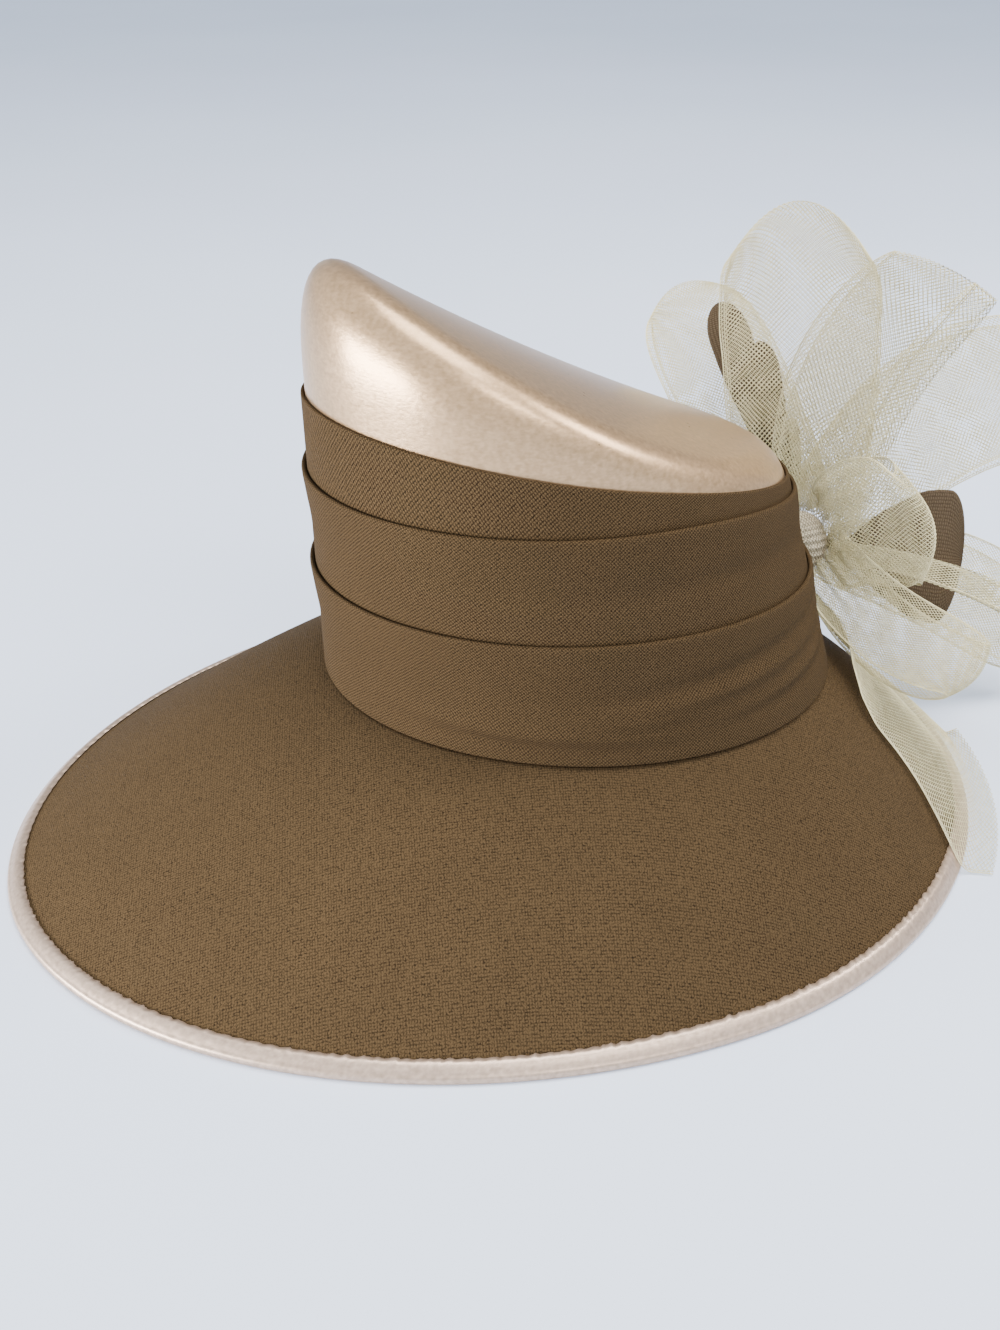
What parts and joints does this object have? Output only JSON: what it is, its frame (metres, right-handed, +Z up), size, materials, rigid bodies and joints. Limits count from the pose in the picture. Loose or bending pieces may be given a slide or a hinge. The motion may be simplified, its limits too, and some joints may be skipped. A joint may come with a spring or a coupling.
{
  "type": "church hat",
  "caption": "Church hat with a slanted satin crown, folded cloth bands, a wide oval brim with satin binding and a bow of net ribbon at the back",
  "frame": {"origin": "under the middle of the whole hat's box, on the floor that its brim rests on", "axes": "+Z up, the hat's front at -X and its bow at +X"},
  "size_m": [0.5042, 0.3438, 0.2258],
  "materials": {
    "crown_satin": "champagne satin, fine twill, soft wide gloss",
    "band_crepe": "matt brown crepe",
    "brim_crepe": "matt brown crepe",
    "binding_satin": "pale cream satin",
    "ribbon_net": "stiff cream net with a diamond mesh",
    "leaf_cloth": "dark brown cloth"
  },
  "bodies": {
    "root": {"crown_shell": "crown_satin", "band_lower": "band_crepe", "band_middle": "band_crepe", "band_upper": "band_crepe", "brim": "brim_crepe", "brim_binding": "binding_satin", "bow_knot": "ribbon_net", "loop_far": "ribbon_net", "loop_tall": "ribbon_net", "loop_high": "ribbon_net", "loop_right": "ribbon_net", "loop_back": "ribbon_net", "loop_low": "ribbon_net", "loop_front": "ribbon_net", "tail_twist": "ribbon_net", "tail_brim": "ribbon_net", "leaf_left": "leaf_cloth", "leaf_middle": "leaf_cloth", "leaf_small": "leaf_cloth", "leaf_right": "leaf_cloth"}
  },
  "joints": []
}
